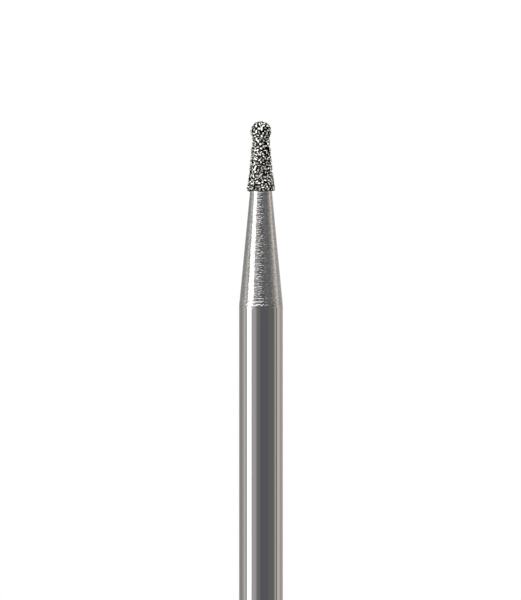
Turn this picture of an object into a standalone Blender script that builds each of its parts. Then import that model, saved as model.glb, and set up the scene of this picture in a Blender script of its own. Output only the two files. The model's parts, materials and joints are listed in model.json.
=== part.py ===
"""A friction-grip diamond bur: a turned steel blank whose ball and collar carry a plated layer of grit.

Metres, +Z up. The bur turns about the Z axis, and the end face of its shank is centred on the origin.
A profile is a list of (radius, height) pairs that runs down the outer side of a turned piece.
"""

import math

import bmesh
import bpy
import numpy as np
from mathutils import Vector
from mathutils.geometry import delaunay_2d_cdt

MM = 0.001

# Steel blank: shank, cone and ball, turned from one rod
SHANK_DIAMETER = 1.60 * MM
SHANK_LENGTH = 12.26 * MM
END_CHAMFER = 0.12 * MM
NECK_LENGTH = 4.19 * MM
WAIST_DIAMETER = 0.42 * MM
BALL_DIAMETER = 0.57 * MM

# Coated head, measured along the axis from the layer's lower edge to its tip
HEAD_LENGTH = 2.55 * MM

# Plated layer: the nickel in the valleys between the grains, and how far the grains stand out of it
BOND_THICKNESS = 0.036 * MM
GRAIN_RISE = 0.064 * MM
WAIST_FILLET = 0.60 * MM
PLATING_GAP = 0.001 * MM

# The build-up of the layer at its lower edge, and how far below the edge its profile is carried on
LIP_LENGTH = 0.80 * MM
LIP_RISE = 0.022 * MM
EDGE_CHAMFER = 0.025 * MM
EDGE_MARGIN = 0.25 * MM

# Diamond grains: the least distance between the middles of two, and how evenly they are laid
GRAIN_SPACING = 0.082 * MM
GRAIN_TRIES = 40000
GRAIN_SEED = 16

# The uneven top of a grain, in shares of its patch of the layer and of its rise
TOP_WIDTHS = (0.30, 0.68)
TOP_HEIGHTS = (0.72, 1.0)
TOP_LEAN = 0.55
TOP_SHIFT = 0.12

# Facets of the turned surfaces, and the finer steps of the profile that the grains lie on
TURNED_SEGMENTS = 48
ARC_STEP = math.radians(18)
LAYER_ARC_STEP = math.radians(4)
LAYER_STEP = 0.036 * MM

STEEL_COLOUR = (0.55, 0.545, 0.54, 1.0)
GRIT_COLOUR = (0.30, 0.30, 0.285, 1.0)

# Heights that follow from the lengths above
EDGE_HEIGHT = SHANK_LENGTH + NECK_LENGTH
TIP_HEIGHT = EDGE_HEIGHT + HEAD_LENGTH
BALL_RADIUS = BALL_DIAMETER / 2
BALL_HEIGHT = TIP_HEIGHT - GRAIN_RISE - BOND_THICKNESS - BALL_RADIUS
WAIST_HEIGHT = BALL_HEIGHT - math.sqrt(BALL_RADIUS**2 - (WAIST_DIAMETER / 2) ** 2)
TAPER = math.atan2((SHANK_DIAMETER - WAIST_DIAMETER) / 2, WAIST_HEIGHT - SHANK_LENGTH)


def clear_scene():
    for obj in list(bpy.data.objects):
        bpy.data.objects.remove(obj, do_unlink=True)


def metal(name, colour, roughness):
    material = bpy.data.materials.new(name)
    material.use_nodes = True
    shader = material.node_tree.nodes["Principled BSDF"]
    shader.inputs["Base Color"].default_value = colour
    shader.inputs["Metallic"].default_value = 1.0
    shader.inputs["Roughness"].default_value = roughness
    return material


def placed(name, shape, material):
    bmesh.ops.recalc_face_normals(shape, faces=shape.faces)
    mesh = bpy.data.meshes.new(name)
    shape.to_mesh(mesh)
    shape.free()
    mesh.materials.append(material)
    obj = bpy.data.objects.new(name, mesh)
    bpy.context.scene.collection.objects.link(obj)
    return obj


def turn_profile(shape, profile):
    """Adds the surface that a profile sweeps round the Z axis. Points on the axis become one."""
    points = [shape.verts.new((radius, 0.0, height)) for radius, height in profile]
    edges = [shape.edges.new(pair) for pair in zip(points, points[1:])]
    bmesh.ops.spin(
        shape,
        geom=points + edges,
        cent=(0.0, 0.0, 0.0),
        axis=(0.0, 0.0, 1.0),
        angle=2.0 * math.pi,
        steps=TURNED_SEGMENTS,
        use_merge=True,
    )
    bmesh.ops.remove_doubles(shape, verts=shape.verts, dist=1e-4 * MM)


def arc(centre, radius, start, end, step=ARC_STEP):
    """Points of an arc about (radius, height) centre, its angles counted from the horizontal."""
    steps = max(2, math.ceil(abs(end - start) / step))
    angles = (start + (end - start) * i / steps for i in range(steps + 1))
    return [(centre[0] + radius * math.cos(a), centre[1] + radius * math.sin(a)) for a in angles]


def cone_radius(height):
    """Radius of the bare cone at a height."""
    return SHANK_DIAMETER / 2 - math.tan(TAPER) * (height - SHANK_LENGTH)


def core_profile(gap):
    """The ball and cone of the blank, from the tip to the lower edge of the layer, grown by a gap."""
    waist_angle = -math.acos(WAIST_DIAMETER / BALL_DIAMETER)
    ball = arc((0.0, BALL_HEIGHT), BALL_RADIUS, math.pi / 2, waist_angle)
    ball[0] = (0.0, BALL_HEIGHT + BALL_RADIUS)
    core = ball + [(cone_radius(EDGE_HEIGHT), EDGE_HEIGHT)]
    return [(radius + gap, height) if radius > 0.0 else (0.0, height + gap) for radius, height in core]


def blank_profile():
    shank_radius = SHANK_DIAMETER / 2
    return core_profile(0.0) + [
        (shank_radius, SHANK_LENGTH),
        (shank_radius, END_CHAMFER),
        (shank_radius - END_CHAMFER, 0.0),
        (0.0, 0.0),
    ]


def steel_blank(material):
    shape = bmesh.new()
    turn_profile(shape, blank_profile())
    blank = placed("steel_blank", shape, material)
    blank.data.shade_smooth()
    blank.data.set_sharp_from_angle(angle=math.radians(20))


def lip(height):
    """How much thicker the layer is near its lower edge."""
    share = min(1.0, max(0.0, 1.0 - (height - EDGE_HEIGHT) / LIP_LENGTH))
    return LIP_RISE * share * share * (3.0 - 2.0 * share)


def bond_profile(lowest):
    """The nickel's outer side down to a height: ball, fillet at the waist, and collar with its lip."""
    ball = (0.0, BALL_HEIGHT)
    reach = BALL_RADIUS + BOND_THICKNESS
    normal = (math.cos(TAPER), math.sin(TAPER))
    along = cone_radius(BALL_HEIGHT) * normal[0] + BOND_THICKNESS + WAIST_FILLET
    down = math.sqrt(max(0.0, (reach + WAIST_FILLET) ** 2 - along**2))
    fillet = (
        along * normal[0] + down * normal[1],
        BALL_HEIGHT + along * normal[1] - down * normal[0],
    )
    towards_ball = math.atan2(ball[1] - fillet[1], ball[0] - fillet[0])
    crown = arc(ball, reach, math.pi / 2, towards_ball - math.pi, LAYER_ARC_STEP)
    crown[0] = (0.0, BALL_HEIGHT + reach)
    hollow = arc(fillet, WAIST_FILLET, towards_ball, TAPER + math.pi, LAYER_ARC_STEP)
    heights = np.arange(hollow[-1][1], lowest, -LAYER_STEP)[1:].tolist() + [lowest]
    thickness = BOND_THICKNESS / math.cos(TAPER)
    collar = [(cone_radius(height) + thickness + lip(height), height) for height in heights]
    return crown + hollow[1:] + collar


class Layer:
    """The bond's outer side, unrolled onto a plane that keeps small shapes, with the tip in the middle.

    A place on the plane is a complex number, and a rise is a height over the bond.
    """

    def __init__(self):
        edge_height = EDGE_HEIGHT + EDGE_CHAMFER
        self.profile = np.array(bond_profile(edge_height - EDGE_MARGIN))
        lengths = np.hypot(*np.diff(self.profile, axis=0).T)
        self.along = np.append(0.0, np.cumsum(lengths))
        slope = np.gradient(self.profile, self.along, axis=0)
        self.outwards = np.column_stack((-slope[:, 1], slope[:, 0]))
        middles = (self.profile[1:, 0] + self.profile[:-1, 0]) / 2
        self.area = np.append(0.0, np.cumsum(lengths * middles))
        growth = np.cumsum(lengths[1:] / middles[1:])
        self.spread = np.concatenate(([0.0], lengths[0] * np.exp(np.append(0.0, growth))))
        self.edge = np.interp(-edge_height, -self.profile[:, 1], self.spread)
        self.edge_area = np.interp(self.edge, self.spread, self.area)

    def places(self, areas, turns):
        """Places that have given shares of the area above them, at given angles."""
        return np.interp(areas, self.area, self.spread) * np.exp(1j * turns)

    def points(self, places, rises):
        """The points in space of places on the plane."""
        spread = np.abs(places)
        radius, height = (np.interp(spread, self.spread, column) for column in self.profile.T)
        out, up = (np.interp(spread, self.spread, column) for column in self.outwards.T)
        turns = np.angle(places)
        radius = radius + out * rises
        return np.column_stack((radius * np.cos(turns), radius * np.sin(turns), height + up * rises))


def grain_middles(layer, chance):
    """Places of the grains: one on the tip, the others at random, none too close to another."""
    places = layer.places(
        chance.uniform(0.0, layer.edge_area, GRAIN_TRIES), chance.uniform(0.0, 2.0 * math.pi, GRAIN_TRIES)
    )
    places[0] = 0.0
    points = layer.points(places, 0.0)
    kept = [0]
    for i in range(1, GRAIN_TRIES):
        if np.linalg.norm(points[kept] - points[i], axis=1).min() >= GRAIN_SPACING:
            kept.append(i)
    return places[kept]


def mirrored(layer, middles):
    """Places beyond the layer's edge that mirror the grains near it, so that the edge runs level."""
    beyond = layer.edge**2 / np.conj(middles[1:])
    return beyond[np.abs(beyond) < layer.spread[-1]]


def grain_tops(layer, middle, patch, chance):
    """Corners of a grain's leaning top, one over each corner of its patch. The grain on the tip is level."""
    high = chance.uniform(*TOP_HEIGHTS) if middle else 1.0
    lean = chance.uniform(0.0, TOP_LEAN) if middle else 0.0
    lean_turn, shift_turn = chance.uniform(0.0, 2.0 * math.pi, 2)
    spokes = patch - middle
    shift = TOP_SHIFT * np.abs(spokes).mean() * np.exp(1j * shift_turn)
    sides = (1.0 + np.cos(np.angle(spokes) - lean_turn)) / 2
    places = middle + spokes * chance.uniform(*TOP_WIDTHS) + shift
    return layer.points(places, GRAIN_RISE * (high - lean * sides))


def grain_relief(shape):
    """The layer's outer side. Each grain fills the patch nearest to its middle, down to the edge."""
    chance = np.random.default_rng(GRAIN_SEED)
    layer = Layer()
    middles = grain_middles(layer, chance)
    places = np.concatenate((middles, mirrored(layer, middles)))
    flat = [Vector((place.real, place.imag)) for place in places]
    triangles = np.array(delaunay_2d_cdt(flat, [], [], 0, 0.0)[2])
    valleys = places[triangles].mean(axis=1)
    at_edge = triangles.max(axis=1) >= len(middles)
    valleys[at_edge] *= layer.edge / np.abs(valleys[at_edge])
    corners = [shape.verts.new(point) for point in layer.points(valleys, 0.0)]
    for index, middle in enumerate(middles):
        ring = np.flatnonzero((triangles == index).any(axis=1))
        ring = ring[np.argsort(np.angle(valleys[ring] - middle))]
        tops = [shape.verts.new(point) for point in grain_tops(layer, middle, valleys[ring], chance)]
        for i in range(len(ring)):
            shape.faces.new((corners[ring[i - 1]], corners[ring[i]], tops[i], tops[i - 1]))
        shape.faces.new(tops)
    unused = [corner for corner in corners if not corner.link_faces]
    bmesh.ops.delete(shape, geom=unused, context="VERTS")


def open_edges(shape):
    return [edge for edge in shape.edges if len(edge.link_faces) == 1]


def diamond_coating(material):
    """The plated layer with its grains, as one solid that fits over the ball and collar."""
    shape = bmesh.new()
    grain_relief(shape)
    chamfer = bmesh.ops.extrude_edge_only(shape, edges=open_edges(shape))
    for vert in (item for item in chamfer["geom"] if isinstance(item, bmesh.types.BMVert)):
        radius = math.hypot(vert.co.x, vert.co.y)
        share = (radius - EDGE_CHAMFER) / radius
        vert.co = (vert.co.x * share, vert.co.y * share, EDGE_HEIGHT)
    turn_profile(shape, core_profile(PLATING_GAP))
    bmesh.ops.triangle_fill(shape, edges=open_edges(shape), use_beauty=True)
    placed("diamond_coating", shape, material)


def main():
    clear_scene()
    steel_blank(metal("turned steel", STEEL_COLOUR, 0.22))
    diamond_coating(metal("nickel and diamond", GRIT_COLOUR, 0.38))


main()
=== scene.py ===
"""The looks of a friction-grip diamond bur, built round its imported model.

Metres, +Z up. The bur turns about the Z axis. The camera looks along +Y, straight at its side.
"""

import json
import math

import bmesh
import bpy
import numpy as np
from mathutils import Matrix, Vector, noise
from mathutils.geometry import delaunay_2d_cdt

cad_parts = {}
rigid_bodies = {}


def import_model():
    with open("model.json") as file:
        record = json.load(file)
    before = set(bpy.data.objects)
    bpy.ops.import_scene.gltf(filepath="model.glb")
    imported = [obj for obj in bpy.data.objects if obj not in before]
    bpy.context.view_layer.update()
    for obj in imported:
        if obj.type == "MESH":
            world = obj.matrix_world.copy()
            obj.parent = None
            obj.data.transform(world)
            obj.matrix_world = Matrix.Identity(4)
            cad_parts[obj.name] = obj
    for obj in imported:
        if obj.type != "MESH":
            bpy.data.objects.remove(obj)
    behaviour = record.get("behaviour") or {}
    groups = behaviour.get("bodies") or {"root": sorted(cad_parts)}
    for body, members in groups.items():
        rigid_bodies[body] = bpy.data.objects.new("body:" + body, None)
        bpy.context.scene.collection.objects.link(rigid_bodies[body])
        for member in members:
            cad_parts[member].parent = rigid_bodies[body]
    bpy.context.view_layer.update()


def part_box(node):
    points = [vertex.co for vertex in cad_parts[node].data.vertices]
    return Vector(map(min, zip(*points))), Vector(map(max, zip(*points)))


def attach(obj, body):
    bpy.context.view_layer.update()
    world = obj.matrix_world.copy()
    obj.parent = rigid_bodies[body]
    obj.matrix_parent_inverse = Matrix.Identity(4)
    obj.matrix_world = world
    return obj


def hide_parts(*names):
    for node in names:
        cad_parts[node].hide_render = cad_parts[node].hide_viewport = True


for leftover in list(bpy.data.objects):
    bpy.data.objects.remove(leftover)

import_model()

MM = 0.001

# The steel blank, whose outer sizes come from the frame
BLANK_LOW, BLANK_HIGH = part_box("steel_blank")
LAYER_LOW, LAYER_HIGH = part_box("diamond_coating")
SHANK_RADIUS = (BLANK_HIGH.x - BLANK_LOW.x) / 2
SHANK_LENGTH = 12.26 * MM
END_CHAMFER = 0.12 * MM
WAIST_RADIUS = 0.21 * MM
BALL_RADIUS = 0.285 * MM
EDGE_HEIGHT = LAYER_LOW.z

# The plated layer: the nickel over the steel, and the grains over the nickel
BOND_THICKNESS = 0.036 * MM
GRAIN_RISE = 0.064 * MM
WAIST_FILLET = 0.60 * MM
LIP_LENGTH = 0.80 * MM
LIP_RISE = 0.022 * MM
EDGE_CHAMFER = 0.025 * MM
EDGE_MARGIN = 0.25 * MM
LAYER_ARC_STEP = math.radians(4)
LAYER_STEP = 0.036 * MM

# The grit's layout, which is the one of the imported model
GRAIN_SPACING = 0.082 * MM
GRAIN_TRIES = 40000
GRAIN_SEED = 16

# Heights and the taper that follow
BALL_HEIGHT = BLANK_HIGH.z - BALL_RADIUS
WAIST_HEIGHT = BALL_HEIGHT - math.sqrt(BALL_RADIUS**2 - WAIST_RADIUS**2)
TAPER = math.atan2(SHANK_RADIUS - WAIST_RADIUS, WAIST_HEIGHT - SHANK_LENGTH)

# The tool's marks on the neck start a little below its foot, and run on under the plated layer
FINISH_HEIGHT = 12.16 * MM
UNDER_LAYER = 0.10 * MM

# Photograph: its frame, its scale and where the bur's axis and tip are in it
FRAME_WIDTH, FRAME_HEIGHT = 521, 600
SHANK_PIXELS = 43.92
PIXEL = 2.0 * SHANK_RADIUS / SHANK_PIXELS
AXIS_COLUMN = 261.0
TIP_ROW = 121.0
CAMERA_DISTANCE = 0.40
CAMERA_CLIP = (0.01, 10.0)
SENSOR = 36.0


def grey(level):
    """An opaque grey."""
    return (level, level, level, 1.0)


WHITE = grey(1.0)


def cone_radius(height):
    """Radius of the bare cone at a height."""
    return SHANK_RADIUS - math.tan(TAPER) * (height - SHANK_LENGTH)


def arc(centre, radius, start, end, step):
    """Points of an arc about (radius, height) centre, its angles counted from the horizontal."""
    steps = max(2, math.ceil(abs(end - start) / step))
    angles = (start + (end - start) * i / steps for i in range(steps + 1))
    return [(centre[0] + radius * math.cos(a), centre[1] + radius * math.sin(a)) for a in angles]


def new_object(name, vertices, faces):
    mesh = bpy.data.meshes.new(name)
    mesh.from_pydata(vertices, [], faces)
    mesh.update()
    obj = bpy.data.objects.new(name, mesh)
    bpy.context.scene.collection.objects.link(obj)
    return obj


def ring_faces(rings, segments):
    """Quads between rings of vertices that lie one after another, and fans to a point at each end."""
    faces = []
    for ring in range(rings - 1):
        low, high = 1 + ring * segments, 1 + (ring + 1) * segments
        faces += [
            (low + i, high + i, high + (i + 1) % segments, low + (i + 1) % segments)
            for i in range(segments)
        ]
    last = 1 + (rings - 1) * segments
    faces += [(0, 1 + i, 1 + (i + 1) % segments) for i in range(segments)]
    faces += [(last + segments, last + (i + 1) % segments, last + i) for i in range(segments)]
    return faces


# The steel blank

BLANK_SEGMENTS = 200
BALL_ARC_STEP = math.radians(10)
NECK_RING = 0.0110 * MM
SHANK_RINGS = 24
CHAMFER_RINGS = (0.15, 0.5, 0.85)
SHOULDER_ROUND = 0.07 * MM
SHARPEST_SMOOTH = math.radians(30)

# The marks of the turning tool on the neck: fine marks, longer lines, and uneven rings at its foot
MARK_DEPTH = 0.0024 * MM
MARK_LENGTH = 0.058 * MM
MARK_PITCH = 0.0225 * MM
LINE_DEPTH = 0.0014 * MM
LINE_LENGTH = 0.58 * MM
LINE_PITCH = 0.036 * MM
LINE_SHIFT = Vector((5.0, 3.0, 0.0))
RING_DEPTH = 0.0062 * MM
RING_LENGTH = 0.129 * MM
RING_PITCH = 0.1275 * MM
RING_LOWEST = 12.288 * MM
RING_COUNT = 2.7
RING_FADING = 0.5
RING_WANDER = 0.9
RING_SHIFT = Vector((0.0, 0.0, 7.0))
MARKS_START = 0.08 * MM


def neck_radius(height):
    """The cone, rounded over where it meets the shank."""
    above = (height - SHANK_LENGTH) / SHOULDER_ROUND
    if above >= 1.0:
        return cone_radius(height)
    return SHANK_RADIUS - math.tan(TAPER) * SHOULDER_ROUND * (max(0.0, above + 1.0) ** 2) / 4


def blank_profile():
    """(radius, height, whether the tool's marks are there) from the tip down."""
    waist_angle = -math.acos(WAIST_RADIUS / BALL_RADIUS)
    ball = arc((0.0, BALL_HEIGHT), BALL_RADIUS, math.pi / 2, waist_angle, BALL_ARC_STEP)[1:]
    profile = [(radius, height, False) for radius, height in ball]
    top = EDGE_HEIGHT + UNDER_LAYER
    count = math.ceil((top - FINISH_HEIGHT) / NECK_RING)
    for i in range(count + 1):
        height = top - (top - FINISH_HEIGHT) * i / count
        profile.append((neck_radius(height), height, True))
    for i in range(1, SHANK_RINGS + 1):
        height = FINISH_HEIGHT + (END_CHAMFER - FINISH_HEIGHT) * i / SHANK_RINGS
        profile.append((SHANK_RADIUS, height, False))
    for share in CHAMFER_RINGS:
        profile.append((SHANK_RADIUS - END_CHAMFER * share, END_CHAMFER * (1.0 - share), False))
    profile.append((SHANK_RADIUS - END_CHAMFER, 0.0, False))
    return profile


def turning_mark(radius, height, turn):
    """How far the turning tool's marks lift the neck at a place."""
    around = Vector((math.cos(turn), math.sin(turn), 0.0)) * radius
    along = Vector((0.0, 0.0, height))
    marks = MARK_DEPTH * noise.noise(around / MARK_LENGTH + along / MARK_PITCH)
    lines = LINE_DEPTH * noise.noise(around / LINE_LENGTH + along / LINE_PITCH + LINE_SHIFT)
    wander = RING_WANDER * noise.noise(around / RING_LENGTH + RING_SHIFT)
    rings = -math.sin(2.0 * math.pi * ((height - RING_LOWEST) / RING_PITCH + wander))
    above = height - FINISH_HEIGHT
    fading = max(0.0, 1.0 - above / (RING_COUNT * RING_PITCH)) ** RING_FADING
    return (marks + lines + RING_DEPTH / 2 * fading * rings) * min(1.0, above / MARKS_START)


def make_blank():
    """The whole blank as one closed surface, with the tool's marks on its neck."""
    profile = blank_profile()
    vertices = [(0.0, 0.0, BLANK_HIGH.z)]
    turns = [2.0 * math.pi * i / BLANK_SEGMENTS for i in range(BLANK_SEGMENTS)]
    for radius, height, marked in profile:
        for turn in turns:
            reach = radius + (turning_mark(radius, height, turn) if marked else 0.0)
            vertices.append((reach * math.cos(turn), reach * math.sin(turn), height))
    vertices.append((0.0, 0.0, 0.0))
    blank = new_object("bur_blank", vertices, ring_faces(len(profile), BLANK_SEGMENTS))
    blank.data.shade_smooth()
    blank.data.set_sharp_from_angle(angle=SHARPEST_SMOOTH)
    blank.data.materials.append(steel_material())
    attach(blank, "root")
    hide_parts("steel_blank")


# The plated layer


def lip(height):
    """How much thicker the layer is near its lower edge."""
    share = min(1.0, max(0.0, 1.0 - (height - EDGE_HEIGHT) / LIP_LENGTH))
    return LIP_RISE * share * share * (3.0 - 2.0 * share)


def bond_profile(lowest):
    """The nickel's outer side down to a height: ball, fillet at the waist, and collar with its lip."""
    ball = (0.0, BALL_HEIGHT)
    reach = BALL_RADIUS + BOND_THICKNESS
    normal = (math.cos(TAPER), math.sin(TAPER))
    along = cone_radius(BALL_HEIGHT) * normal[0] + BOND_THICKNESS + WAIST_FILLET
    down = math.sqrt(max(0.0, (reach + WAIST_FILLET) ** 2 - along**2))
    fillet = (
        along * normal[0] + down * normal[1],
        BALL_HEIGHT + along * normal[1] - down * normal[0],
    )
    towards_ball = math.atan2(ball[1] - fillet[1], ball[0] - fillet[0])
    crown = arc(ball, reach, math.pi / 2, towards_ball - math.pi, LAYER_ARC_STEP)
    crown[0] = (0.0, BALL_HEIGHT + reach)
    hollow = arc(fillet, WAIST_FILLET, towards_ball, TAPER + math.pi, LAYER_ARC_STEP)
    heights = np.arange(hollow[-1][1], lowest, -LAYER_STEP)[1:].tolist() + [lowest]
    thickness = BOND_THICKNESS / math.cos(TAPER)
    collar = [(cone_radius(height) + thickness + lip(height), height) for height in heights]
    return crown + hollow[1:] + collar


class Layer:
    """The bond's outer side, unrolled onto a plane that keeps small shapes, with the tip in the middle.

    A place on the plane is a complex number, and a rise is a height over the bond.
    """

    def __init__(self):
        edge_height = EDGE_HEIGHT + EDGE_CHAMFER
        self.profile = np.array(bond_profile(edge_height - EDGE_MARGIN))
        lengths = np.hypot(*np.diff(self.profile, axis=0).T)
        self.along = np.append(0.0, np.cumsum(lengths))
        slope = np.gradient(self.profile, self.along, axis=0)
        self.outwards = np.column_stack((-slope[:, 1], slope[:, 0]))
        middles = (self.profile[1:, 0] + self.profile[:-1, 0]) / 2
        self.area = np.append(0.0, np.cumsum(lengths * middles))
        growth = np.cumsum(lengths[1:] / middles[1:])
        self.spread = np.concatenate(([0.0], lengths[0] * np.exp(np.append(0.0, growth))))
        self.edge = np.interp(-edge_height, -self.profile[:, 1], self.spread)
        self.edge_area = np.interp(self.edge, self.spread, self.area)

    def places(self, areas, turns):
        """Places that have given shares of the area above them, at given angles."""
        return np.interp(areas, self.area, self.spread) * np.exp(1j * turns)

    def points(self, places, rises):
        """The points in space of places on the plane."""
        spread = np.abs(places)
        radius, height = (np.interp(spread, self.spread, column) for column in self.profile.T)
        out, up = (np.interp(spread, self.spread, column) for column in self.outwards.T)
        turns = np.angle(places)
        radius = radius + out * rises
        return np.column_stack((radius * np.cos(turns), radius * np.sin(turns), height + up * rises))


def grain_middles(layer, chance):
    """Places of the grains: one on the tip, the others at random, none too close to another."""
    places = layer.places(
        chance.uniform(0.0, layer.edge_area, GRAIN_TRIES), chance.uniform(0.0, 2.0 * math.pi, GRAIN_TRIES)
    )
    places[0] = 0.0
    points = layer.points(places, 0.0)
    kept = [0]
    for i in range(1, GRAIN_TRIES):
        if np.linalg.norm(points[kept] - points[i], axis=1).min() >= GRAIN_SPACING:
            kept.append(i)
    return places[kept]


def grain_patches(layer, middles):
    """For each grain, the corners of the patch of the layer that is nearest to it."""
    beyond = layer.edge**2 / np.conj(middles[1:])
    places = np.concatenate((middles, beyond[np.abs(beyond) < layer.spread[-1]]))
    flat = [Vector((place.real, place.imag)) for place in places]
    triangles = np.array(delaunay_2d_cdt(flat, [], [], 0, 0.0)[2])
    corners = places[triangles].mean(axis=1)
    at_edge = triangles.max(axis=1) >= len(middles)
    corners[at_edge] *= layer.edge / np.abs(corners[at_edge])
    patches = []
    for index, middle in enumerate(middles):
        ring = corners[(triangles == index).any(axis=1)]
        patches.append(ring[np.argsort(np.angle(ring - middle))])
    return patches


# The crystals: cubes whose sides, corners and broken places are cut at distances drawn from these ranges.
# The sides have a range for each axis, so a crystal is a long splinter.
CRYSTAL_SEED = 18
CRYSTAL_KINDS = 40
FACE_CUTS = ((0.28, 0.52), (0.85, 1.0), (0.50, 0.95))
CORNER_CUTS = (1.0, 1.9)
BREAKS = 3
BREAK_CUTS = (0.62, 0.95)
FLAT_SHARE = 0.7
FLAT_LEAN = math.radians(14)
NEARLY_UPRIGHT = 0.1


def cut(shape, direction, distance):
    """Cuts a convex shape by a plane and closes it again."""
    geometry = shape.verts[:] + shape.edges[:] + shape.faces[:]
    cut_off = bmesh.ops.bisect_plane(
        shape, geom=geometry, plane_co=direction * distance, plane_no=direction, clear_outer=True
    )
    edges = [item for item in cut_off["geom_cut"] if isinstance(item, bmesh.types.BMEdge)]
    if edges:
        bmesh.ops.contextual_create(shape, geom=edges)


def crystal_kind(chance):
    """A crystal of about unit size, as its vertices and faces."""
    shape = bmesh.new()
    bmesh.ops.create_cube(shape, size=2.0)
    for axis in range(3):
        for side in (-1.0, 1.0):
            direction = Vector((0.0, 0.0, 0.0))
            direction[axis] = side
            cut(shape, direction, chance.uniform(*FACE_CUTS[axis]))
    for corner in np.ndindex(2, 2, 2):
        cut(shape, Vector([2.0 * c - 1.0 for c in corner]).normalized(), chance.uniform(*CORNER_CUTS))
    for _ in range(BREAKS):
        cut(shape, Vector(chance.normal(size=3)).normalized(), chance.uniform(*BREAK_CUTS))
    shape.verts.ensure_lookup_table()
    shape.verts.index_update()
    vertices = np.array([vert.co for vert in shape.verts])
    faces = [[vert.index for vert in face.verts] for face in shape.faces]
    shape.free()
    return vertices, faces


def random_turn(chance):
    """A rotation matrix. Some of the crystals lie nearly flat, and the others lie anyhow."""
    if chance.random() < FLAT_SHARE:
        lean = Vector(chance.normal(size=3)).normalized()
        spin = Matrix.Rotation(chance.uniform(0.0, 2.0 * math.pi), 3, "Z")
        return np.array(Matrix.Rotation(chance.normal() * FLAT_LEAN, 3, lean) @ spin)
    matrix, triangle = np.linalg.qr(chance.normal(size=(3, 3)))
    matrix = matrix * np.sign(np.diag(triangle))
    return matrix * np.sign(np.linalg.det(matrix))


def upright_frame(outwards):
    """Two directions across a third one."""
    side = np.cross(outwards, (0.0, 0.0, 1.0))
    if np.linalg.norm(side) < NEARLY_UPRIGHT:
        side = np.array((1.0, 0.0, 0.0))
    side = side / np.linalg.norm(side)
    return side, np.cross(outwards, side)


class Grit:
    """Collects crystals into one mesh, with a tone for each crystal and for each of its facets."""

    def __init__(self, chance):
        self.chance = chance
        self.kinds = [crystal_kind(chance) for _ in range(CRYSTAL_KINDS)]
        self.vertices = []
        self.faces = []
        self.heights = []
        self.grain_tones = []
        self.facet_tones = []
        self.count = 0

    def add(self, foot, outwards, width, top, depth, tones=1.0):
        """One crystal over a foot point, as wide as given, from a depth under the foot up to its top.

        The tones of its facets run up to the share that tones gives.
        """
        vertices, faces = self.kinds[self.chance.integers(CRYSTAL_KINDS)]
        vertices = vertices @ random_turn(self.chance).T
        across = np.hypot(vertices[:, 0], vertices[:, 1]).max()
        low, high = vertices[:, 2].min(), vertices[:, 2].max()
        up = (vertices[:, 2] - low) / (high - low) * (top + depth) - depth
        side, other = upright_frame(outwards)
        scale = width / 2 / across
        placed = foot + np.outer(vertices[:, 0] * scale, side) + np.outer(vertices[:, 1] * scale, other)
        self.vertices.append(placed + np.outer(up, outwards))
        self.heights.append(up / GRAIN_RISE)
        self.faces += [[index + self.count for index in face] for face in faces]
        self.count += len(vertices)
        self.grain_tones += [self.chance.random()] * len(faces)
        self.facet_tones += list(self.chance.random(len(faces)) * tones)

    def mesh(self, name):
        """All the crystals as one object."""
        obj = new_object(name, np.concatenate(self.vertices).tolist(), self.faces)
        for attribute, values in (("grain_tone", self.grain_tones), ("facet_tone", self.facet_tones)):
            layer = obj.data.attributes.new(attribute, "FLOAT", "FACE")
            layer.data.foreach_set("value", np.array(values, dtype=np.float32))
        # the height on each crystal, which the diamonds' material turns into painted shade
        heights = obj.data.attributes.new("rise", "FLOAT", "POINT")
        heights.data.foreach_set("value", np.concatenate(self.heights).astype(np.float32))
        return obj


# The large crystals: their share of the patch, of its rise and of the nickel that they sink into
GRAIN_FIT = 0.90
GRAIN_HEIGHTS = (0.95, 1.25)
GRAIN_DEPTH = 0.7 * BOND_THICKNESS

# The small crystals between them, whose random facet tones are capped lower: painted shade in the valleys
# between the large crystals
FILLER_TRIES = 9000
FILLER_SPACING = 0.043 * MM
FILLER_WIDTHS = (0.044 * MM, 0.070 * MM)
FILLER_RISES = (0.020 * MM, 0.054 * MM)
FILLER_DEPTH = 0.012 * MM
FILLER_SHADED_TONES = 0.85


def outwards_at(layer, place):
    """The point of the bond at a place, and the direction that stands out of it there."""
    points = layer.points(np.array([place, place]), np.array([0.0, GRAIN_RISE]))
    direction = points[1] - points[0]
    return points[0], direction / np.linalg.norm(direction)


def make_grains(layer):
    """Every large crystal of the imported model, and small ones in the gaps between them."""
    middles = grain_middles(layer, np.random.default_rng(GRAIN_SEED))
    patches = grain_patches(layer, middles)
    chance = np.random.default_rng(CRYSTAL_SEED)
    grit = Grit(chance)
    feet = []
    for middle, patch in zip(middles, patches):
        foot, outwards = outwards_at(layer, middle)
        on_tip = middle == 0.0
        if on_tip:
            outwards = np.array((0.0, 0.0, 1.0))
        reach = np.linalg.norm(layer.points(patch, 0.0) - foot, axis=1).mean()
        top = GRAIN_RISE * (1.0 if on_tip else chance.uniform(*GRAIN_HEIGHTS))
        grit.add(foot, outwards, 2.0 * reach * GRAIN_FIT, top, GRAIN_DEPTH)
        feet.append(foot)
    places = layer.places(
        chance.uniform(0.0, layer.edge_area, FILLER_TRIES), chance.uniform(0.0, 2.0 * math.pi, FILLER_TRIES)
    )
    for place in places:
        foot, outwards = outwards_at(layer, place)
        if np.linalg.norm(np.array(feet) - foot, axis=1).min() >= FILLER_SPACING:
            feet.append(foot)
            width = chance.uniform(*FILLER_WIDTHS)
            rise = chance.uniform(*FILLER_RISES)
            # painted shade: the small crystals' tones are capped lower, as they lie in the valleys
            grit.add(foot, outwards, width, rise, FILLER_DEPTH, tones=FILLER_SHADED_TONES)
    grains = grit.mesh("diamond_grains")
    grains.data.materials.append(grain_material())
    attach(grains, "root")
    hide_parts("diamond_coating")


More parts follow.
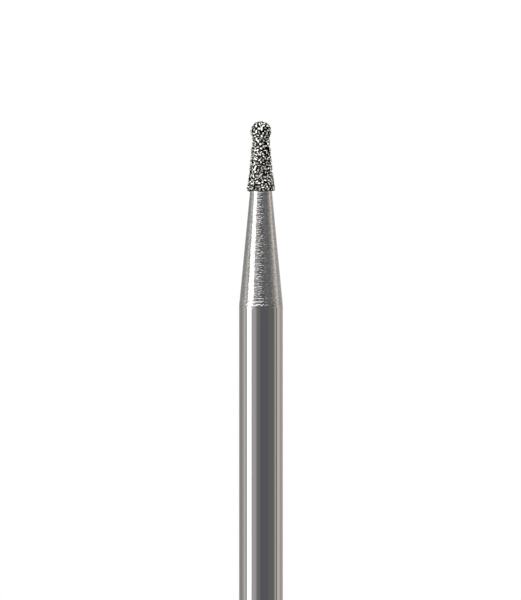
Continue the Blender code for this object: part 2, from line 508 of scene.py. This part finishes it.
# The nickel: the height and the number to a millimetre of its waves, and how far it reaches into the steel
BOND_SEGMENTS = 160
BOND_WAVE = 0.005 * MM
BOND_WAVES = 22.0
BOND_OVERLAP = 0.004 * MM
EDGE_ARC_STEP = math.radians(15)


def make_bond():
    """The nickel between the grains, from the tip round its lower edge and back to the steel."""
    outer = bond_profile(EDGE_HEIGHT + EDGE_CHAMFER)[1:]
    corner = (outer[-1][0] - EDGE_CHAMFER, EDGE_HEIGHT + EDGE_CHAMFER)
    seen = outer + arc(corner, EDGE_CHAMFER, 0.0, -math.pi / 2, EDGE_ARC_STEP)[1:]
    steel = cone_radius(EDGE_HEIGHT)
    hidden = [(steel - BOND_OVERLAP, EDGE_HEIGHT), (steel / 2, EDGE_HEIGHT + LIP_LENGTH)]
    profile = seen + hidden
    vertices = [(0.0, 0.0, BALL_HEIGHT + BALL_RADIUS + BOND_THICKNESS)]
    turns = [2.0 * math.pi * i / BOND_SEGMENTS for i in range(BOND_SEGMENTS)]
    for index, (radius, height) in enumerate(profile):
        for turn in turns:
            place = Vector((radius * math.cos(turn), radius * math.sin(turn), height)) / MM
            wave = BOND_WAVE * noise.noise(place * BOND_WAVES) if index < len(seen) else 0.0
            reach = radius + wave
            vertices.append((reach * math.cos(turn), reach * math.sin(turn), height))
    vertices.append((0.0, 0.0, EDGE_HEIGHT + LIP_LENGTH))
    bond = new_object("nickel_bond", vertices, ring_faces(len(profile), BOND_SEGMENTS))
    bond.data.shade_smooth()
    bond.data.materials.append(bond_material())
    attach(bond, "root")
    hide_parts("diamond_coating")


# Materials


def new_material(name):
    material = bpy.data.materials.new(name)
    material.use_nodes = True
    tree = material.node_tree
    return material, tree, tree.nodes["Principled BSDF"]


def add_node(tree, kind, inputs=None, **settings):
    node = tree.nodes.new(kind)
    for key, value in settings.items():
        setattr(node, key, value)
    for socket, value in (inputs or {}).items():
        if isinstance(value, bpy.types.NodeSocket):
            tree.links.new(value, node.inputs[socket])
        else:
            node.inputs[socket].default_value = value
    return node


def ramp(tree, factor, stops):
    """A colour ramp through (position, colour) stops."""
    node = add_node(tree, "ShaderNodeValToRGB", {"Fac": factor})
    elements = node.color_ramp.elements
    while len(elements) > 1:
        elements.remove(elements[-1])
    elements[0].position, elements[0].color = stops[0][0], (*stops[0][1], 1.0)
    for position, colour in stops[1:]:
        elements.new(position).color = (*colour, 1.0)
    return node.outputs["Color"]


def mix_colour(tree, factor, first, second):
    """Mixes two colours, each of them a socket or a plain colour."""
    node = add_node(tree, "ShaderNodeMix", data_type="RGBA")
    for socket, value in ((node.inputs[0], factor), (node.inputs[6], first), (node.inputs[7], second)):
        if isinstance(value, bpy.types.NodeSocket):
            tree.links.new(value, socket)
        else:
            socket.default_value = value
    return node.outputs[2]


def math_node(tree, operation, *values, clamp=False):
    inputs = dict(enumerate(values))
    return add_node(tree, "ShaderNodeMath", inputs, operation=operation, use_clamp=clamp).outputs["Value"]


def map_range(tree, value, start, end, low=0.0, high=1.0, kind="LINEAR"):
    """How far a value has come from start to end, as a number between low and high."""
    inputs = {"Value": value, "From Min": start, "From Max": end, "To Min": low, "To Max": high}
    return add_node(tree, "ShaderNodeMapRange", inputs, interpolation_type=kind).outputs["Result"]


def smooth_step(tree, value, start, end):
    return map_range(tree, value, start, end, kind="SMOOTHSTEP")


def add_bump(tree, shader, height, strength, distance):
    inputs = {"Height": height, "Strength": strength, "Distance": distance}
    bump = add_node(tree, "ShaderNodeBump", inputs)
    tree.links.new(bump.outputs["Normal"], shader.inputs["Normal"])


# Steel: the polished shank, and the neck's spots, with their number to a metre across and along the bur
STEEL_COLOUR = (0.56, 0.555, 0.55, 1.0)
STEEL_ROUGHNESS = 0.07
SPOT_STOPS = [(0.36, (0.36, 0.355, 0.35)), (0.60, (0.66, 0.655, 0.65))]
SPOTS = (14000.0, 14000.0, 26000.0)
SPOT_BUMP = 0.0006 * MM
FINISH_FADE = 0.02 * MM


def steel_material():
    """Bright ground steel on the shank, and finely spotted steel on the neck."""
    material, tree, shader = new_material("turned steel")
    place = add_node(tree, "ShaderNodeTexCoord").outputs["Object"]
    height = add_node(tree, "ShaderNodeSeparateXYZ", {"Vector": place}).outputs["Z"]
    neck = map_range(tree, height, FINISH_HEIGHT, FINISH_HEIGHT + FINISH_FADE)
    scaled = add_node(tree, "ShaderNodeMapping", {"Vector": place, "Scale": SPOTS}).outputs["Vector"]
    detail = {"Vector": scaled, "Scale": 1.0, "Detail": 2.0, "Roughness": 0.6}
    spots = add_node(tree, "ShaderNodeTexNoise", detail).outputs["Fac"]
    add_bump(tree, shader, spots, neck, SPOT_BUMP)
    colour = mix_colour(tree, neck, STEEL_COLOUR, ramp(tree, spots, SPOT_STOPS))
    tree.links.new(colour, shader.inputs["Base Color"])
    shader.inputs["Metallic"].default_value = 1.0
    shader.inputs["Roughness"].default_value = STEEL_ROUGHNESS
    return material


# Diamond: the shares of a place's rise, facet and crystal in its tone, the colour at each tone, and how
# metallic the palest tone is. The rise's share is painted shade: each crystal is dark at its foot and on
# its lower sides, and pale at its top. The facet and crystal shares are tone that differs at random. The
# darker ones mirror as metal does.
SHADE_RISE_SHARE, FACET_SHARE, GRAIN_SHARE = 0.68, 0.30, 0.02
GRAIN_TONE_AND_SHADE_STOPS = [
    (0.643, (0.002, 0.002, 0.002)),
    (0.653, (0.15, 0.15, 0.14)),
    (0.668, (0.66, 0.65, 0.58)),
    (0.678, (1.00, 0.99, 0.92)),
]
PALE_METALLIC = 0.65
GRAIN_IOR = 1.6
GRAIN_TINT = grey(0.03)
GRAIN_ROUGHNESS = 0.12


def grain_material():
    """Diamond crystals: glossy facets, with painted shade that leaves a crystal pale at its top and dark at
    its foot.
    """
    material, tree, shader = new_material("diamond grains")
    grain = add_node(tree, "ShaderNodeAttribute", attribute_name="grain_tone").outputs["Fac"]
    facet = add_node(tree, "ShaderNodeAttribute", attribute_name="facet_tone").outputs["Fac"]
    rise = add_node(tree, "ShaderNodeAttribute", attribute_name="rise").outputs["Fac"]
    tone = math_node(tree, "MULTIPLY", grain, GRAIN_SHARE)
    tone = math_node(tree, "MULTIPLY_ADD", facet, FACET_SHARE, tone)
    # painted shade: the height on the crystal lifts the tone, so the foot is dark and the top pale
    top = math_node(tree, "MINIMUM", rise, 1.0)
    light = math_node(tree, "MULTIPLY_ADD", top, SHADE_RISE_SHARE, tone)
    tree.links.new(ramp(tree, light, GRAIN_TONE_AND_SHADE_STOPS), shader.inputs["Base Color"])
    metallic = map_range(tree, light, GRAIN_TONE_AND_SHADE_STOPS[1][0], GRAIN_TONE_AND_SHADE_STOPS[3][0], low=1.0, high=PALE_METALLIC)
    tree.links.new(metallic, shader.inputs["Metallic"])
    shader.inputs["IOR"].default_value = GRAIN_IOR
    shader.inputs["Specular Tint"].default_value = GRAIN_TINT
    shader.inputs["Roughness"].default_value = GRAIN_ROUGHNESS
    return material


# Nickel: the colours of its clouds, near black as painted shade between the grains, their number to a
# metre, and its bump
BOND_SHADE_STOPS = [(0.35, (0.012, 0.012, 0.011)), (0.65, (0.10, 0.10, 0.09))]
BOND_CLOUDS = 30000.0
BOND_ROUGHNESS = 0.30
BOND_BUMP = 0.004 * MM
BOND_BUMP_STRENGTH = 0.6


def bond_material():
    """Satin nickel, a little uneven, between the grains, and painted near black as the shade that lies
    between them.
    """
    material, tree, shader = new_material("nickel bond")
    place = add_node(tree, "ShaderNodeTexCoord").outputs["Object"]
    detail = {"Vector": place, "Scale": BOND_CLOUDS, "Detail": 3.0}
    clouds = add_node(tree, "ShaderNodeTexNoise", detail).outputs["Fac"]
    # painted shade: the nickel's clouds run from near black to dark grey
    tree.links.new(ramp(tree, clouds, BOND_SHADE_STOPS), shader.inputs["Base Color"])
    shader.inputs["Metallic"].default_value = 1.0
    shader.inputs["Roughness"].default_value = BOND_ROUGHNESS
    add_bump(tree, shader, clouds, BOND_BUMP_STRENGTH, BOND_BUMP)
    return material


# Studio: a white backdrop, with cards and lights that stand before it all round the bur, in two tiers.
# The upright shank shows the lower tier, and the leaning neck the upper one. Each card is its name, where
# it starts and ends in degrees to the right of the camera, its level and its tint.

LOWER_CARDS = [
    ("left rear", -168, -142, 0.42, (1.00, 0.99, 0.98)),
    ("left wall, dark edge", -130, -121, 0.34, (1.02, 1.00, 0.94)),
    ("left wall", -116, -105, 0.50, (1.07, 0.99, 0.94)),
    ("left wall, pale edge", -99, -95, 0.80, (1.02, 1.00, 0.95)),
    ("left wall, near", -91, -79, 0.59, (0.94, 1.02, 0.98)),
    ("strip light", -74.8, -54, 2.6, (1.00, 1.00, 1.00)),
    ("left front", -50.5, -31, 0.56, (1.01, 1.00, 0.99)),
    ("camera, left", -19, -10, 0.24, (0.98, 0.99, 1.01)),
    ("camera", 0, 34, 0.155, (0.95, 0.99, 1.08)),
    ("camera, right", 44, 71, 0.19, (1.02, 1.01, 0.96)),
    ("gap light", 81, 84, 0.60, (1.03, 1.00, 0.92)),
    ("gap", 88.5, 92, 0.17, (1.06, 1.00, 0.84)),
    ("right card", 96, 107, 0.79, (1.08, 1.00, 0.87)),
    ("right card, rear", 124, 130, 0.48, (1.10, 0.98, 0.97)),
    ("right rear", 140, 168, 0.54, (1.05, 0.99, 1.03)),
]
UPPER_CARDS = [
    ("left rear", -168, -142, 0.42, (1.00, 0.99, 0.98)),
    ("left wall, dark edge", -130, -121, 0.43, (1.02, 1.00, 0.97)),
    ("left wall", -116, -105, 0.52, (1.04, 1.00, 0.95)),
    ("left wall, pale edge", -99, -90, 0.86, (1.01, 1.01, 0.96)),
    ("left wall, near", -86, -78, 0.56, (0.99, 1.02, 0.98)),
    ("softbox", -74.5, -42.3, 2.3, (1.00, 1.00, 1.00)),
    ("left front", -40.3, -31, 0.54, (1.01, 1.00, 0.99)),
    ("camera, left", -19, -14, 0.24, (1.00, 0.99, 0.99)),
    ("camera", -4, 12, 0.16, (0.98, 0.99, 1.03)),
    ("camera, near", 26, 57, 0.24, (0.98, 0.99, 1.02)),
    ("camera, right", 72, 75, 0.36, (1.06, 1.00, 0.95)),
    ("right wall", 82, 85, 0.47, (1.05, 1.00, 0.93)),
    ("right card", 95, 105, 0.90, (1.06, 1.00, 0.94)),
    ("right card, rear", 114, 130, 0.52, (1.05, 1.00, 0.97)),
    ("right rear", 140, 168, 0.54, (1.03, 0.99, 1.00)),
]

# Where the backdrop shows between the last card and the first, in degrees to either side of the camera
BACKDROP_STARTS = 176

# The lifts between which the lower tier gives way to the upper one, and the cards to the white above them
UPPER_TIER = (math.radians(2.5), math.radians(5.5))
CARDS_TOP = (math.radians(50), math.radians(65))

# A lamp over the cards: the turn and the lift of its middle, where it is full and where it ends
CEILING_MIDDLE = (math.radians(-24), math.radians(75))
CEILING_REACH = (math.radians(56), math.radians(64))
CEILING_LEVEL = 1.8

# A dark flag over the rear cards
FLAG_SIDES = (math.radians(105), math.radians(116))
FLAG_FOOT = (math.radians(20), math.radians(27))
FLAG_LEVEL = 0.06


def card_stops(cards):
    """A tier's cards as stops along a turn, with the backdrop where it meets itself behind the bur."""
    stops = [((180 - BACKDROP_STARTS) / 360, WHITE[:3])]
    for _, start, end, level, tint in cards:
        colour = tuple(level * channel for channel in tint)
        stops += [((start + 180) / 360, colour), ((end + 180) / 360, colour)]
    return stops + [((180 + BACKDROP_STARTS) / 360, WHITE[:3])]


def studio_colour(tree):
    """What stands round the bur, by direction: the cards, the ceiling lamp, the flag and the backdrop."""
    direction = add_node(tree, "ShaderNodeTexCoord").outputs["Generated"]
    axes = add_node(tree, "ShaderNodeSeparateXYZ", {"Vector": direction}).outputs
    turn = math_node(tree, "ARCTAN2", axes["X"], math_node(tree, "MULTIPLY", axes["Y"], -1.0))
    share = math_node(tree, "MULTIPLY_ADD", turn, 0.5 / math.pi, 0.5)
    height = math_node(tree, "ARCSINE", axes["Z"])
    lower, upper = (ramp(tree, share, card_stops(cards)) for cards in (LOWER_CARDS, UPPER_CARDS))
    cards = mix_colour(tree, smooth_step(tree, height, *UPPER_TIER), lower, upper)
    studio = mix_colour(tree, smooth_step(tree, height, *CARDS_TOP), cards, WHITE)
    middle, lift = CEILING_MIDDLE
    towards = (math.sin(middle) * math.cos(lift), -math.cos(middle) * math.cos(lift), math.sin(lift))
    near = add_node(tree, "ShaderNodeVectorMath", {0: direction, 1: towards}, operation="DOT_PRODUCT")
    full, end = (math.cos(angle) for angle in CEILING_REACH)
    ceiling = smooth_step(tree, near.outputs["Value"], end, full)
    studio = mix_colour(tree, ceiling, studio, grey(CEILING_LEVEL))
    behind = smooth_step(tree, math_node(tree, "ABSOLUTE", turn), *FLAG_SIDES)
    flag = math_node(tree, "MULTIPLY", behind, smooth_step(tree, height, *FLAG_FOOT))
    return mix_colour(tree, flag, studio, grey(FLAG_LEVEL))


def make_world():
    """Plain even light, and the white backdrop, which metal shows with the cards before it."""
    world = bpy.data.worlds.new("studio")
    bpy.context.scene.world = world
    world.use_nodes = True
    tree = world.node_tree
    tree.nodes.clear()
    path = add_node(tree, "ShaderNodeLightPath").outputs
    backdrop = mix_colour(tree, path["Is Camera Ray"], studio_colour(tree), WHITE)
    seen = math_node(tree, "ADD", path["Is Camera Ray"], path["Is Glossy Ray"], clamp=True)
    seen = math_node(tree, "ADD", seen, path["Is Transmission Ray"], clamp=True)
    colour = mix_colour(tree, seen, WHITE, backdrop)
    background = add_node(tree, "ShaderNodeBackground", {"Color": colour, "Strength": 1.0})
    output = add_node(tree, "ShaderNodeOutputWorld")
    tree.links.new(background.outputs["Background"], output.inputs["Surface"])


FLOOR_RADIUS = 12.0 * MM
FLOOR_FADE = (1.0 * MM, 11.0 * MM)
FLOOR_SEGMENTS = 96
FLOOR_COLOUR = grey(0.88)
FLOOR_ROUGHNESS = 0.8
FLOOR_SPECULAR = 0.1


def make_floor():
    """A pale floor that keeps the bur's shadow, and fades out into the white of the backdrop."""
    turns = [2.0 * math.pi * i / FLOOR_SEGMENTS for i in range(FLOOR_SEGMENTS)]
    rim = [(FLOOR_RADIUS * math.cos(turn), FLOOR_RADIUS * math.sin(turn), 0.0) for turn in turns]
    floor = new_object("floor", rim, [range(FLOOR_SEGMENTS)])
    material, tree, shader = new_material("pale floor")
    shader.inputs["Base Color"].default_value = FLOOR_COLOUR
    shader.inputs["Roughness"].default_value = FLOOR_ROUGHNESS
    shader.inputs["Specular IOR Level"].default_value = FLOOR_SPECULAR
    place = add_node(tree, "ShaderNodeTexCoord").outputs["Object"]
    away = add_node(tree, "ShaderNodeVectorMath", {0: place}, operation="LENGTH").outputs["Value"]
    fading = smooth_step(tree, away, *FLOOR_FADE)
    clear = add_node(tree, "ShaderNodeBsdfTransparent")
    mix = add_node(
        tree, "ShaderNodeMixShader", {0: fading, 1: shader.outputs["BSDF"], 2: clear.outputs["BSDF"]}
    )
    tree.links.new(mix.outputs["Shader"], tree.nodes["Material Output"].inputs["Surface"])
    floor.data.materials.append(material)


def make_camera():
    """Straight at the side of the bur, with the photograph's frame round it."""
    data = bpy.data.cameras.new("camera")
    camera = bpy.data.objects.new("camera", data)
    bpy.context.scene.collection.objects.link(camera)
    middle = LAYER_HIGH.z + (TIP_ROW - FRAME_HEIGHT / 2) * PIXEL
    across = (FRAME_WIDTH / 2 - AXIS_COLUMN) * PIXEL
    camera.location = (across, -CAMERA_DISTANCE, middle)
    camera.rotation_euler = (math.pi / 2, 0.0, 0.0)
    data.sensor_width = SENSOR
    data.lens = SENSOR * CAMERA_DISTANCE / (FRAME_HEIGHT * PIXEL)
    data.clip_start, data.clip_end = CAMERA_CLIP
    bpy.context.scene.camera = camera


bpy.context.scene.view_settings.view_transform = "Standard"
layer = Layer()
make_blank()
make_bond()
make_grains(layer)
make_world()
make_floor()
make_camera()
